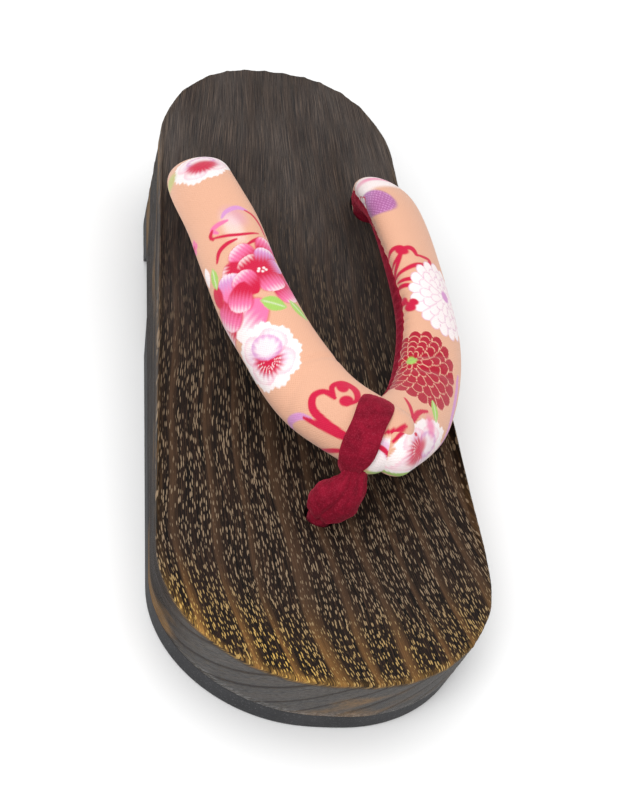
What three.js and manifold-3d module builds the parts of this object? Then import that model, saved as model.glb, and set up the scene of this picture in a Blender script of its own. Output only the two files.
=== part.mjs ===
// Women's geta of the rounded, toothless kind: a one-piece paulownia base hollowed to an arch
// between a forefoot block and a heel block, a rubber pad under each block, one padded V strap
// and a velvet front loop that holds the nose of the strap to the front hole.
// Millimetres, +Z up. The origin is on the floor under the middle of the base, the toe points
// to -Y, the heel to +Y, and +X is on the right when the sandal is looked at from its toe.
import * as THREE from "three";
import { mergeVertices } from "three/addons/utils/BufferGeometryUtils.js";
import Module from "manifold-3d";

const wasm = await Module();
wasm.setup();

// Outline of the top of the base, symmetrical about the Y axis.
const LENGTH = 240;
const HALF_WIDTH = 44.9; // half width at mid length
const SIDE_TAPER = 0.06; // half width lost for each millimetre towards the heel
const TOE_RADIUS = 113;
const TOE_CORNER_RADIUS = 45.5;
const HEEL_RADIUS = 88.5;
const HEEL_CORNER_RADIUS = 34.2;
const ARC_STEPS = 12;
const SIDE_STEPS = 14;

// Heights and walls of the base.
const TOE_HEIGHT = 27.3;
const MID_HEIGHT = 27.5;
const HEEL_HEIGHT = 46.8;
const TOE_UNDERCUT = 5.1; // the front wall slopes in by this much at the floor
const SIDE_INSET = 1.65; // the side and rear walls slope in by this much at the floor
const EDGE_CHAMFER = 1.0;
const PAD_THICKNESS = 7.5;
const GAP = 0.3; // clearance between touching pieces

// Arch between the two blocks, cut straight through from side to side.
const ARCH_FRONT = 24; // floor line of the forefoot block's rear end
const ARCH_REAR = 70; // floor line of the heel block's front end
const ARCH_FRONT_SLOPE = 33; // degrees
const ARCH_REAR_SLOPE = 52; // degrees
const ARCH_HEIGHT = 16;
const ARCH_ROUNDING = 7;

// Strap holes.
const FRONT_HOLE_Y = -58;
const FRONT_HOLE_RADIUS = 4.6;
const FRONT_RECESS_RADIUS = 11;
const FRONT_RECESS_TOP = 14;
const REAR_HOLE_X = 29.5;
const REAR_HOLE_Y = 68; // where the hole opens on the top of the base
const REAR_HOLE_LEAN = 18; // degrees, the hole runs down and forwards into the arch
const REAR_HOLE_RADIUS = 6.6;

// Strap: centre line of each leg from its hole to the nose, then sizes along the leg.
const NOSE = new THREE.Vector3(14, -49.5, 48.5);
const NOSE_OVERRUN = 7; // each leg runs this far past the middle of the nose and is rounded off
const LEFT_LEG = [
  [-29.5, 61.5, 18], [-29.5, 67.4, 36], [-30.2, 65.8, 42.0], [-31, 59.3, 47.2], [-30.4, 50, 50.3],
  [-26.1, 36, 50], [-16.6, 0, 47.4], [-2.3, -28, 43.5],
];
const RIGHT_LEG = [
  [29.5, 61.5, 18], [29.5, 67.4, 36], [29.6, 65.2, 41.6], [29.4, 58.6, 46.8], [30.8, 50, 49.8],
  [34.1, 34, 48.3], [36.9, 0, 43.6], [29.5, -29, 41.5],
];
// [place along the leg 0..1, width across, thickness, outward tilt of the broad face in degrees]
const LEG_SIZES = [
  [0.0, 6, 6, 0], [0.1, 9, 7.5, 0], [0.14, 15, 10, 10], [0.2, 19.5, 13, 25], [0.3, 21, 14.6, 33],
  [0.55, 22.6, 16, 36], [0.8, 23.4, 16.6, 30], [1.0, 22, 15.6, 22],
];
const LEG_STATIONS = 40;
const SECTION_SIDES = 20;

// Front loop: a band round the nose of the strap and a bud-shaped stem down into the front hole.
const BAND_WIDTH = 10.5;
const BAND_THICKNESS = 2.4;
const BAND_TURN = -24; // degrees about +Z, the band crosses the nose on this slant
const BAND_HALF_LENGTH = 10.3; // half of the opening it wraps, from crotch to front
const BAND_HALF_HEIGHT = 8.6;
const BAND_CENTRE = new THREE.Vector3(9.2, -46.8, 47.9);
const STEM_PATH = [
  [6.4, -55.6, 43.8], [5.3, -58.4, 39.2], [2.3, -59.2, 33.2], [0.3, -58.3, 28], [0, -58, 22], [0, -58, 13],
];
const STEM_SIZES = [
  [0, 7, 5.5, 0], [0.1, 8, 6.5, 0], [0.2, 11.5, 9, 0], [0.34, 14.5, 10.8, 0], [0.46, 12.8, 10, 0],
  [0.55, 7.6, 7.2, 0], [1, 6, 6, 0],
];
const STEM_STATIONS = 22;

const WOOD = new THREE.MeshStandardMaterial({ color: 0x3a2a20, roughness: 0.6, metalness: 0 });
const RUBBER = new THREE.MeshStandardMaterial({ color: 0x2c2b2c, roughness: 0.85, metalness: 0 });
const PRINT_COTTON = new THREE.MeshStandardMaterial({ color: 0xf4c8a6, roughness: 0.9, metalness: 0 });
const VELVET = new THREE.MeshStandardMaterial({ color: 0x8c1432, roughness: 1, metalness: 0 });

const radians = THREE.MathUtils.degToRad;

/** Points on an arc from one angle to another, both ends kept. */
function arcPoints(centre, radius, from, to, steps) {
  const arc = new THREE.EllipseCurve(centre.x, centre.y, radius, radius, from, to, to < from);
  return arc.getPoints(steps);
}

/** Centre of a corner arc that touches the straight side from inside and the end arc from inside. */
function cornerCentre(endCentre, endRadius, cornerRadius, towards) {
  const normal = new THREE.Vector2(1, SIDE_TAPER).normalize();
  const along = new THREE.Vector2(-normal.y, normal.x);
  const sideDistance = HALF_WIDTH / Math.hypot(1, SIDE_TAPER);
  const start = normal.clone().multiplyScalar(sideDistance - cornerRadius).sub(endCentre);
  const half = start.dot(along);
  const reach = half * half - start.lengthSq() + (endRadius - cornerRadius) ** 2;
  return start.add(endCentre).addScaledVector(along, towards * Math.sqrt(reach) - half);
}

/** Right half of the outline from the middle of the toe to the middle of the heel. */
function rightOutline() {
  const toeCentre = new THREE.Vector2(0, -LENGTH / 2 + TOE_RADIUS);
  const heelCentre = new THREE.Vector2(0, LENGTH / 2 - HEEL_RADIUS);
  const toeCorner = cornerCentre(toeCentre, TOE_RADIUS, TOE_CORNER_RADIUS, -1);
  const heelCorner = cornerCentre(heelCentre, HEEL_RADIUS, HEEL_CORNER_RADIUS, 1);
  const sideAngle = Math.atan2(SIDE_TAPER, 1);
  const toeTurn = toeCorner.clone().sub(toeCentre).angle() - 2 * Math.PI;
  const heelTurn = heelCorner.clone().sub(heelCentre).angle();
  const toeArc = arcPoints(toeCentre, TOE_RADIUS, -Math.PI / 2, toeTurn, ARC_STEPS / 2);
  const toeBend = arcPoints(toeCorner, TOE_CORNER_RADIUS, toeTurn, sideAngle, ARC_STEPS);
  const heelBend = arcPoints(heelCorner, HEEL_CORNER_RADIUS, sideAngle, heelTurn, ARC_STEPS);
  const heelArc = arcPoints(heelCentre, HEEL_RADIUS, heelTurn, Math.PI / 2, ARC_STEPS / 2);
  const side = new THREE.LineCurve(toeBend.at(-1), heelBend[0]).getPoints(SIDE_STEPS);
  return [...toeArc, ...toeBend.slice(1), ...side.slice(1, -1), ...heelBend, ...heelArc.slice(1)];
}

/** Height of the top face: a parabola through the toe, middle and heel heights. */
function topHeight(y) {
  const t = y / LENGTH + 0.5;
  return TOE_HEIGHT * 2 * (t - 0.5) * (t - 1) - MID_HEIGHT * 4 * t * (t - 1)
    + HEEL_HEIGHT * 2 * t * (t - 0.5);
}

/** Closed ring of the base's wall at a height, pulled inwards by inset at the top edge. */
function baseRing(heightAt, inset) {
  const right = rightOutline().map((p) => {
    const top = topHeight(p.y);
    const z = heightAt(top);
    const depth = 1 - z / top;
    const endInset = p.y < 0 ? TOE_UNDERCUT : SIDE_INSET;
    const x = p.x * (1 - (SIDE_INSET * depth + inset) / HALF_WIDTH);
    const y = p.y * (1 - (endInset * depth + inset) / (LENGTH / 2));
    return new THREE.Vector3(x, y, z);
  });
  right[0].x = 0;
  right.at(-1).x = 0;
  const left = right.slice(1, -1).reverse().map((p) => new THREE.Vector3(-p.x, p.y, p.z));
  return [...right, ...left];
}

/** Triangles of a cap: strips across a mirror-symmetrical ring, or a fan round its first point. */
function capFaces(start, count, strips) {
  const faces = [];
  for (let i = 1; i < count - 1; i += 1) {
    if (!strips) {
      faces.push([start, start + i, start + i + 1]);
    }
  }
  for (let i = 0; strips && i < count / 2; i += 1) {
    const [a, b] = [start + i, start + i + 1];
    const [c, d] = [start + ((count - i - 1) % count), start + ((count - i) % count)];
    if (b !== c) faces.push([a, b, c]);
    if (a !== d) faces.push([a, c, d]);
  }
  return faces;
}

/** Closed solid through a list of rings of equal length; the faces are turned to point outwards. */
function loft(rings, strips = false) {
  const count = rings[0].length;
  const points = rings.flat();
  const faces = capFaces(0, count, strips);
  for (const face of capFaces((rings.length - 1) * count, count, strips)) {
    faces.push([face[0], face[2], face[1]]);
  }
  for (let r = 0; r < rings.length - 1; r += 1) {
    for (let i = 0; i < count; i += 1) {
      const [a, b] = [r * count + i, r * count + ((i + 1) % count)];
      faces.push([a, a + count, b], [b, a + count, b + count]);
    }
  }
  const cross = new THREE.Vector3();
  const sum = (total, [a, b, c]) => total + points[a].dot(cross.crossVectors(points[b], points[c]));
  const inward = faces.reduce(sum, 0) < 0;
  const index = faces.flatMap(([a, b, c]) => (inward ? [a, c, b] : [a, b, c]));
  const geometry = new THREE.BufferGeometry().setFromPoints(points);
  geometry.setIndex(index);
  return geometry;
}

/** Manifold solid of a closed geometry. */
function solid(geometry) {
  const plain = geometry.clone();
  plain.deleteAttribute("normal");
  plain.deleteAttribute("uv");
  const merged = mergeVertices(plain, 1e-4);
  const vertProperties = new Float32Array(merged.attributes.position.array);
  const triVerts = new Uint32Array(merged.index.array);
  return new wasm.Manifold(new wasm.Mesh({ numProp: 3, vertProperties, triVerts }));
}

/** Named mesh of a manifold solid. */
function piece(name, shape, material) {
  const { vertProperties, triVerts } = shape.getMesh();
  const geometry = new THREE.BufferGeometry();
  geometry.setAttribute("position", new THREE.BufferAttribute(vertProperties, 3));
  geometry.setIndex(new THREE.BufferAttribute(triVerts, 1));
  geometry.computeVertexNormals();
  const mesh = new THREE.Mesh(geometry, material);
  mesh.name = name;
  return mesh;
}

/** Cylinder between two points. */
function rod(from, to, radius, sides = 24) {
  const direction = to.clone().sub(from);
  const geometry = new THREE.CylinderGeometry(radius, radius, direction.length(), sides);
  geometry.applyQuaternion(new THREE.Quaternion().setFromUnitVectors(
    new THREE.Vector3(0, 1, 0), direction.clone().normalize()));
  const middle = from.clone().add(to).multiplyScalar(0.5);
  return solid(geometry.translate(middle.x, middle.y, middle.z));
}

/** The space of the arch: two slopes joined by a rounded roof, extruded from side to side. */
function archSpace() {
  const below = 5;
  const slopeRun = (rise, slope) => rise / Math.tan(radians(slope));
  const front = (z) => ARCH_FRONT + slopeRun(z, ARCH_FRONT_SLOPE);
  const rear = (z) => ARCH_REAR - slopeRun(z, ARCH_REAR_SLOPE);
  const spring = ARCH_HEIGHT - ARCH_ROUNDING / 2;
  const shape = new THREE.Shape();
  shape.moveTo(front(-below), -below);
  shape.lineTo(front(spring), spring);
  const [roofFront, roofRear] = [front(ARCH_HEIGHT), rear(ARCH_HEIGHT)];
  shape.quadraticCurveTo(roofFront, ARCH_HEIGHT, roofFront + ARCH_ROUNDING / 2, ARCH_HEIGHT);
  shape.lineTo(roofRear - ARCH_ROUNDING / 2, ARCH_HEIGHT);
  shape.quadraticCurveTo(roofRear, ARCH_HEIGHT, rear(spring), spring);
  shape.lineTo(rear(-below), -below);
  shape.closePath();
  const across = 2 * HALF_WIDTH + 20;
  const geometry = new THREE.ExtrudeGeometry(shape, { depth: across, bevelEnabled: false, curveSegments: 6 });
  // the drawing's x becomes +Y and its y becomes +Z
  geometry.applyMatrix4(new THREE.Matrix4().makeBasis(
    new THREE.Vector3(0, 1, 0), new THREE.Vector3(0, 0, 1), new THREE.Vector3(1, 0, 0)));
  return solid(geometry.translate(-across / 2, 0, 0));
}

/** Axis of a rear hole, from above the top of the base to inside the arch. */
function rearHoleAxis(side) {
  const opening = new THREE.Vector3(side * REAR_HOLE_X, REAR_HOLE_Y, topHeight(REAR_HOLE_Y));
  const lean = radians(REAR_HOLE_LEAN);
  const up = new THREE.Vector3(0, Math.sin(lean), Math.cos(lean));
  const above = opening.clone().addScaledVector(up, 15);
  const below = opening.clone().addScaledVector(up, -(opening.z - 8) / Math.cos(lean));
  return [above, below];
}

const frontHole = (bottom, top, radius) => rod(
  new THREE.Vector3(0, FRONT_HOLE_Y, bottom), new THREE.Vector3(0, FRONT_HOLE_Y, top), radius);

/** Wooden base: lofted walls and dished top, less the arch, the front hole and the rear holes. */
function baseWood() {
  const bottom = PAD_THICKNESS + GAP;
  const block = solid(loft([
    baseRing(() => bottom, 0),
    baseRing((top) => top - EDGE_CHAMFER, 0),
    baseRing((top) => top, EDGE_CHAMFER),
  ], true));
  let wood = block.subtract(archSpace());
  wood = wood.subtract(frontHole(-1, LENGTH, FRONT_HOLE_RADIUS));
  wood = wood.subtract(frontHole(-1, FRONT_RECESS_TOP, FRONT_RECESS_RADIUS));
  for (const side of [-1, 1]) {
    wood = wood.subtract(rod(...rearHoleAxis(side), REAR_HOLE_RADIUS));
  }
  return wood;
}

/** Rubber under both blocks, cut in line with the arch and pierced under the front hole. */
function padPair() {
  const slab = solid(loft([baseRing(() => 0, 0), baseRing(() => PAD_THICKNESS, 0)], true));
  return slab.subtract(archSpace()).subtract(frontHole(-1, LENGTH, FRONT_RECESS_RADIUS));
}

/** The part of the pads in front of or behind the middle of the arch. */
function pad(front) {
  const middle = (ARCH_FRONT + ARCH_REAR) / 2;
  const box = new THREE.BoxGeometry(2 * LENGTH, LENGTH, LENGTH);
  return padPair().intersect(solid(box.translate(0, middle + (front ? -0.5 : 0.5) * LENGTH, 0)));
}

/** Straight-line reading of a size table [place, width, thickness, tilt] at a place. */
function sizeAt(table, place) {
  const next = table.findIndex((row) => row[0] >= place);
  if (next <= 0) return table[Math.max(next, 0)].slice(1);
  const [a, b] = [table[next - 1], table[next]];
  const t = (place - a[0]) / (b[0] - a[0]);
  return a.slice(1).map((value, i) => value + t * (b[i + 1] - value));
}

/** Elliptical section across a tangent, its broad face turned outwards by a tilt from upright. */
function sectionRing(centre, tangent, width, thickness, tilt, upright) {
  const up = upright.clone().addScaledVector(tangent, -upright.dot(tangent)).normalize();
  const face = up.applyAxisAngle(tangent, tilt);
  const across = new THREE.Vector3().crossVectors(tangent, face);
  return Array.from({ length: SECTION_SIDES }, (_, i) => {
    const angle = (2 * Math.PI * i) / SECTION_SIDES;
    return centre.clone()
      .addScaledVector(across, (width / 2) * Math.cos(angle))
      .addScaledVector(face, (thickness / 2) * Math.sin(angle));
  });
}

/** One leg of the strap as a lofted solid, grown all round by grow. */
function strapLeg(points, outward, grow) {
  const line = points.map((p) => new THREE.Vector3(...p));
  const run = NOSE.clone().sub(line.at(-1)).normalize();
  const path = new THREE.CatmullRomCurve3([...line, NOSE, NOSE.clone().addScaledVector(run, NOSE_OVERRUN)]);
  const overrun = NOSE_OVERRUN / path.getLength();
  const rings = [];
  for (let i = 0; i <= LEG_STATIONS; i += 1) {
    const place = i / LEG_STATIONS;
    const tangent = path.getTangentAt(place);
    // past the nose the section shrinks like the end of an ellipsoid
    const past = Math.max(0, (place - 1 + overrun) / overrun);
    const round = Math.sqrt(1 - 0.85 * past * past);
    const [width, thickness, tilt] = sizeAt(LEG_SIZES, place);
    // the upright turns towards the heel where the leg drops into its hole
    const upright = new THREE.Vector3(0, Math.max(0, 1 - place / 0.16), 1);
    rings.push(sectionRing(path.getPointAt(place), tangent, width * round + 2 * grow,
      thickness * round + 2 * grow, outward * radians(tilt), upright));
  }
  return solid(loft(rings));
}

const strap = (grow) => strapLeg(LEFT_LEG, 1, grow).add(strapLeg(RIGHT_LEG, -1, grow));

/** Band round the nose: an oval disc on the slant of the band, cleared where the strap passes. */
function frontLoop() {
  const oval = new THREE.Shape();
  oval.absellipse(0, 0, BAND_HALF_LENGTH + BAND_THICKNESS, BAND_HALF_HEIGHT + BAND_THICKNESS, 0, 2 * Math.PI);
  const disc = new THREE.ExtrudeGeometry(oval, { depth: BAND_WIDTH, bevelEnabled: false, curveSegments: 16 });
  disc.translate(0, 0, -BAND_WIDTH / 2);
  // the oval's long way lies along Y and its short way along Z before the slant
  disc.applyMatrix4(new THREE.Matrix4().makeBasis(
    new THREE.Vector3(0, 1, 0), new THREE.Vector3(0, 0, 1), new THREE.Vector3(1, 0, 0)));
  disc.rotateZ(radians(BAND_TURN));
  disc.translate(BAND_CENTRE.x, BAND_CENTRE.y, BAND_CENTRE.z);
  const path = new THREE.CatmullRomCurve3(STEM_PATH.map((p) => new THREE.Vector3(...p)));
  const rings = [];
  for (let i = 0; i <= STEM_STATIONS; i += 1) {
    const place = i / STEM_STATIONS;
    const [width, thickness] = sizeAt(STEM_SIZES, place);
    rings.push(sectionRing(path.getPointAt(place), path.getTangentAt(place), width, thickness, 0,
      new THREE.Vector3(0, -1, 0)));
  }
  return solid(disc).add(solid(loft(rings))).subtract(strap(GAP));
}

const geta = new THREE.Group();
geta.name = "geta";
geta.add(
  piece("base_wood", baseWood(), WOOD),
  piece("forefoot_pad", pad(true), RUBBER),
  piece("heel_pad", pad(false), RUBBER),
  piece("strap", strap(0), PRINT_COTTON),
  piece("front_loop", frontLoop(), VELVET),
);

export default geta;
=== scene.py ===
"""Looks of a women's rounded geta: a burnt and brushed wooden base on two rubber pads, a padded
strap of printed cotton lined with velvet, and a velvet front loop. The maker's functions work in
millimetres; a mesh is made in metres."""
import math

import bmesh
import bpy
import numpy as np
from mathutils import Matrix, Vector


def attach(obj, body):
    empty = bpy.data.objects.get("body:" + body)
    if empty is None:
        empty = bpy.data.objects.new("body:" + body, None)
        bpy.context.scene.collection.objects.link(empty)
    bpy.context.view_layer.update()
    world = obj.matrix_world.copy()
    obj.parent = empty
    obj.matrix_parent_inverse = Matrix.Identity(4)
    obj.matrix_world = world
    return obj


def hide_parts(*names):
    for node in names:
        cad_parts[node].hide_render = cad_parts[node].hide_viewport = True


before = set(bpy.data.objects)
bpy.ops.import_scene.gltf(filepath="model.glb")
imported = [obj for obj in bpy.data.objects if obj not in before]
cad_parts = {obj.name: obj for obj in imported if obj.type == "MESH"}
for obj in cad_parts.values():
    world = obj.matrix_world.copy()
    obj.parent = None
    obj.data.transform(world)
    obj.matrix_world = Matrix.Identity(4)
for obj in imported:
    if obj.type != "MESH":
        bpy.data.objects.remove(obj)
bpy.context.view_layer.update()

MM = 0.001
FINE = 1.0

# ---------------------------------------------------------------- sizes of the base, in mm
LENGTH = 240.0
HALF_WIDTH = 44.9  # at mid length
SIDE_TAPER = 0.06
TOE_RADIUS = 113.0
TOE_CORNER_RADIUS = 45.5
HEEL_RADIUS = 88.5
HEEL_CORNER_RADIUS = 34.2
TOE_HEIGHT = 27.3
MID_HEIGHT = 27.5
HEEL_HEIGHT = 46.8
TOE_UNDERCUT = 5.1
SIDE_INSET = 1.65
EDGE_ROUNDING = 0.7
PAD_THICKNESS = 7.75  # up to the glue line
GLUE_LINE = 0.05
ARCH_FRONT = 24.0
ARCH_REAR = 70.0
ARCH_FRONT_SLOPE = math.tan(math.radians(33))
ARCH_REAR_SLOPE = math.tan(math.radians(52))
ARCH_HEIGHT = 16.0
ARCH_SOFTNESS = 1.2
FRONT_HOLE = (0.0, -58.0)
FRONT_HOLE_RADIUS = 4.6
RECESS_RADIUS = 11.0
RECESS_TOP = 14.0
REAR_HOLE_RADIUS = 6.6
REAR_HOLE_X = 29.5
REAR_HOLE_LOW = (58.9, 8.0)  # y and z of the drill's lower end
REAR_HOLE_HIGH = (72.9, 51.0)
RING_TILT = 1.28  # sideways run of the growth rings for each millimetre of depth
RING_BEND = 0.00155  # sideways bend of the rings towards the toe, for each squared millimetre
RING_FAN = 0.0022  # share by which the rings close up for each millimetre towards the heel
RING_SPACING = 9.0
RIDGE_HEIGHT = 0.3
PORE_SPACING = 0.68  # across the grain
TOE_PORE_PITCH = 1.8  # along the grain
HEEL_PORE_PITCH = 7.0

# ---------------------------------------------------------------- sizes of the strap, in mm
NOSE = (14.0, -49.5, 48.5)
NOSE_OVERRUN = 7.0
LEFT_LEG = [
    (-29.5, 61.5, 18), (-29.5, 67.4, 36), (-30.2, 65.8, 42), (-31, 59.3, 47.2), (-30.4, 50, 50.3),
    (-26.1, 36, 50), (-16.6, 0, 47.4), (-2.3, -28, 43.5),
]
RIGHT_LEG = [
    (29.5, 61.5, 18), (29.5, 67.4, 36), (29.6, 65.2, 41.6), (29.4, 58.6, 46.8), (30.8, 50, 49.8),
    (34.1, 34, 48.3), (36.9, 0, 43.6), (29.5, -29, 41.5),
]
# place along the leg from 0 to 1, width, thickness, outward tilt in degrees
LEG_SIZES = [
    (0.0, 6, 6, 0), (0.1, 9, 7.5, 0), (0.14, 15, 10, 10), (0.2, 19.5, 13, 25), (0.3, 21, 14.6, 33),
    (0.55, 22.6, 16, 36), (0.8, 23.4, 16.6, 30), (1.0, 22, 15.6, 22),
]
LINING_PROUD = 0.45  # the velvet lies this far outside the cotton
LINING_OUTER_EDGE = 152.0  # degrees round the leg from its crown, on the outer side
# the inner seam: run down the leg in mm, degrees round from the crown
INNER_SEAM = {
    "left": [(0, -95), (24, -95), (36, -125), (50, -132), (64, -122), (80, -114), (165, -110)],
    "right": [(0, -95), (24, -95), (34, -120), (47, -128), (64, -112), (80, -103), (95, -97), (165, -94)],
}

# ---------------------------------------------------------------- sizes of the front loop, in mm
BAND_WIDTH = 10.5
BAND_THICKNESS = 2.4
BAND_TURN = -24.0  # degrees about the upright
BAND_CENTRE = (9.2, -46.8, 47.9)
BAND_HALF_LENGTH = 10.3
BAND_HALF_HEIGHT = 8.6
STEM_PATH = [
    (6.4, -55.6, 43.8), (5.3, -58.4, 39.2), (2.3, -59.2, 33.2), (0.3, -58.3, 28), (0, -58, 22), (0, -58, 13),
]
# place along the stem from 0 to 1, width, thickness
STEM_SIZES = [
    (0, 7, 5.5), (0.1, 8, 6.5), (0.2, 11.5, 9), (0.34, 14.5, 10.8), (0.47, 13.4, 10.6), (0.53, 10.8, 9.6),
    (0.57, 7.2, 7), (1, 6, 6),
]

# ---------------------------------------------------------------- welding, stage and camera
MERGE = 0.002  # points closer than this are one, in mm
FLOOR_HALF = 3.0  # in metres
CAMERA_PLACE = (-160.2, -453.9, 478.5)  # in mm
CAMERA_TARGET = (5.75, -11.7, 25.0)
CAMERA_ROLL = 19.3  # degrees
CAMERA_LENS = 96.8  # in mm, on a sensor 36 mm wide


def screen_colour(red, green, blue):
    """Linear-light colour of screen values 0..255, by the usual curve; works on whole arrays."""
    c = np.array([red, green, blue], float) / 255
    return np.where(c <= 0.04045, c / 12.92, ((c + 0.055) / 1.055) ** 2.4)


def rgba(red, green, blue):
    return (*screen_colour(red, green, blue), 1.0)


# ---------------------------------------------------------------- lines and surfaces
def smoothstep(low, high, x):
    """0 at low, 1 at high, and t t (3 - 2 t) between; low may be above high."""
    t = np.clip((x - low) / (high - low), 0, 1)
    return t * t * (3 - 2 * t)


def wander(x, y, seed):
    """Smooth wandering value in about -1..1: a sum of sines in four directions set by the seed."""
    total = 0
    for k in range(4):
        angle = seed * 1.7 + k * 2.4
        pitch = 1 + 0.63 * k
        total = total + np.sin((x * math.cos(angle) + y * math.sin(angle)) * pitch + seed * 3.1 + k * 1.9)
    return total / 2.6


def resampled(line, steps):
    """steps + 1 points evenly spaced by length along a line of points."""
    run = np.concatenate([[0], np.cumsum(np.linalg.norm(np.diff(line, axis=0), axis=1))])
    at = np.linspace(0, run[-1], steps + 1)
    return np.stack([np.interp(at, run, column) for column in line.T], 1)


def smooth_path(points, steps):
    """Centripetal Catmull-Rom curve through the points, at steps + 1 places evenly spaced."""
    p = np.array(points, float)
    p = np.concatenate([[2 * p[0] - p[1]], p, [2 * p[-1] - p[-2]]])
    knots = np.concatenate([[0], np.cumsum(np.sqrt(np.linalg.norm(np.diff(p, axis=0), axis=1)))])
    t = np.linspace(knots[1], knots[-2], 6000)
    i = np.clip(np.searchsorted(knots, t, side="right") - 1, 1, len(p) - 3)
    k0, k1, k2, k3 = (knots[i + j] for j in (-1, 0, 1, 2))

    def mix(a, b, start, end):
        share = ((t - start) / (end - start))[:, None]
        return a * (1 - share) + b * share

    a1, a2, a3 = mix(p[i - 1], p[i], k0, k1), mix(p[i], p[i + 1], k1, k2), mix(p[i + 1], p[i + 2], k2, k3)
    b1, b2 = mix(a1, a2, k0, k2), mix(a2, a3, k1, k3)
    return resampled(mix(b1, b2, k1, k2), steps)


def along_path(path, place):
    """Points of a path and its directions there, at places from 0 to 1."""
    at = place * (len(path) - 1)
    steps = np.arange(len(path))
    centre = np.stack([np.interp(at, steps, c) for c in path.T], 1)
    tangent = unit(np.stack([np.interp(at, steps, c) for c in np.gradient(path, axis=0).T], 1))
    return centre, tangent


def unit(vectors):
    return vectors / np.linalg.norm(vectors, axis=-1, keepdims=True)


def read_table(table, place):
    """Straight-line reading of a size table at places, softly rounded where its lines meet."""
    table = np.array(table, float)
    total = 0
    for shift in (-0.02, -0.01, 0, 0.01, 0.02):
        at = np.clip(place + shift, 0, 1)
        total = total + np.stack([np.interp(at, table[:, 0], column) for column in table.T[1:]])
    return total / 5


def grid_faces(rows, columns, ring=False, start=0):
    """Quads of a grid of points; ring joins its last column to its first."""
    r = np.arange(rows - 1)[:, None]
    c = np.arange(columns if ring else columns - 1)[None, :]
    n = (c + 1) % columns
    quads = [r * columns + c, r * columns + n, (r + 1) * columns + n, (r + 1) * columns + c]
    return np.stack([q + 0 * (r + c) for q in quads], -1).reshape(-1, 4) + start


def joined(grids):
    """Points and faces of several grids, each (points[rows, columns, 3], ring)."""
    points, faces, start = [], [], 0
    for grid, ring in grids:
        rows, columns = grid.shape[:2]
        points.append(grid.reshape(-1, 3))
        faces.append(grid_faces(rows, columns, ring, start))
        start += rows * columns
    return np.concatenate(points), np.concatenate(faces)


def weld(mesh, distance):
    """Merges points within a distance in millimetres, then turns the faces outwards."""
    build = bmesh.new()
    build.from_mesh(mesh)
    bmesh.ops.remove_doubles(build, verts=build.verts, dist=distance * MM)
    bmesh.ops.recalc_face_normals(build, faces=build.faces)
    build.to_mesh(mesh)
    build.free()


def make_piece(name, points, faces, material, merge=MERGE):
    """Smooth, welded mesh from points in millimetres."""
    mesh = bpy.data.meshes.new(name)
    mesh.from_pydata((points * MM).tolist(), [], faces.tolist())
    weld(mesh, merge)
    mesh.materials.append(material)
    piece = bpy.data.objects.new(name, mesh)
    bpy.context.scene.collection.objects.link(piece)
    smooth(piece)
    return piece


def smooth(piece, sharp=None):
    """Shades a piece smooth; edges sharper than sharp degrees stay crisp."""
    mesh = piece.data
    mesh.polygons.foreach_set("use_smooth", np.ones(len(mesh.polygons), bool))
    if sharp:
        mesh.set_sharp_from_angle(angle=math.radians(sharp))
    mesh.update()


def points_of(piece):
    """Vertices of a piece in millimetres."""
    co = np.empty(len(piece.data.vertices) * 3)
    piece.data.vertices.foreach_get("co", co)
    return co.reshape(-1, 3) / MM


def normals_of(piece):
    normals = np.empty(len(piece.data.vertices) * 3)
    piece.data.vertices.foreach_get("normal", normals)
    return normals.reshape(-1, 3)


def set_points(piece, points):
    """Moves the vertices of a piece, given in millimetres."""
    piece.data.vertices.foreach_set("co", (points * MM).ravel())
    piece.data.update()


def store(piece, name, kind, values):
    """Point attribute of a piece: FLOAT, FLOAT_VECTOR or FLOAT_COLOR."""
    field = {"FLOAT": "value", "FLOAT_VECTOR": "vector", "FLOAT_COLOR": "color"}[kind]
    layer = piece.data.attributes.new(name, kind, "POINT")
    layer.data.foreach_set(field, np.ascontiguousarray(values, np.float32).ravel())


# ---------------------------------------------------------------- form of the base and the pads
def corner_centre(end, end_radius, corner_radius, towards):
    """Centre of the corner arc that touches the straight side and the end arc from inside."""
    normal = np.array([1, SIDE_TAPER]) / math.hypot(1, SIDE_TAPER)
    along = np.array([-normal[1], normal[0]])
    start = normal * (HALF_WIDTH / math.hypot(1, SIDE_TAPER) - corner_radius) - end
    half = start @ along
    reach = half * half - start @ start + (end_radius - corner_radius) ** 2
    return end + start + along * (towards * math.sqrt(reach) - half)


def right_outline():
    """Right half of the outline from toe to heel, and the rows at the middle of its two corners:
    end arc, corner arc, straight side, corner arc, end arc."""
    toe = np.array([0, -LENGTH / 2 + TOE_RADIUS])
    heel = np.array([0, LENGTH / 2 - HEEL_RADIUS])
    toe_corner = corner_centre(toe, TOE_RADIUS, TOE_CORNER_RADIUS, -1)
    heel_corner = corner_centre(heel, HEEL_RADIUS, HEEL_CORNER_RADIUS, 1)
    side = math.atan2(SIDE_TAPER, 1)
    toe_turn = math.atan2(*(toe_corner - toe)[::-1])
    heel_turn = math.atan2(*(heel_corner - heel)[::-1])
    arcs = [(toe, TOE_RADIUS, -math.pi / 2, toe_turn), (toe_corner, TOE_CORNER_RADIUS, toe_turn, side),
            (heel_corner, HEEL_CORNER_RADIUS, side, heel_turn), (heel, HEEL_RADIUS, heel_turn, math.pi / 2)]
    line = []
    for centre, radius, first, last in arcs:
        angle = np.linspace(first, last, 241)
        line.append(centre + radius * np.stack([np.cos(angle), np.sin(angle)], 1))
    return np.concatenate(line), (241 + 120, 2 * 241 + 120)


OUTLINE, CORNERS = right_outline()


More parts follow.
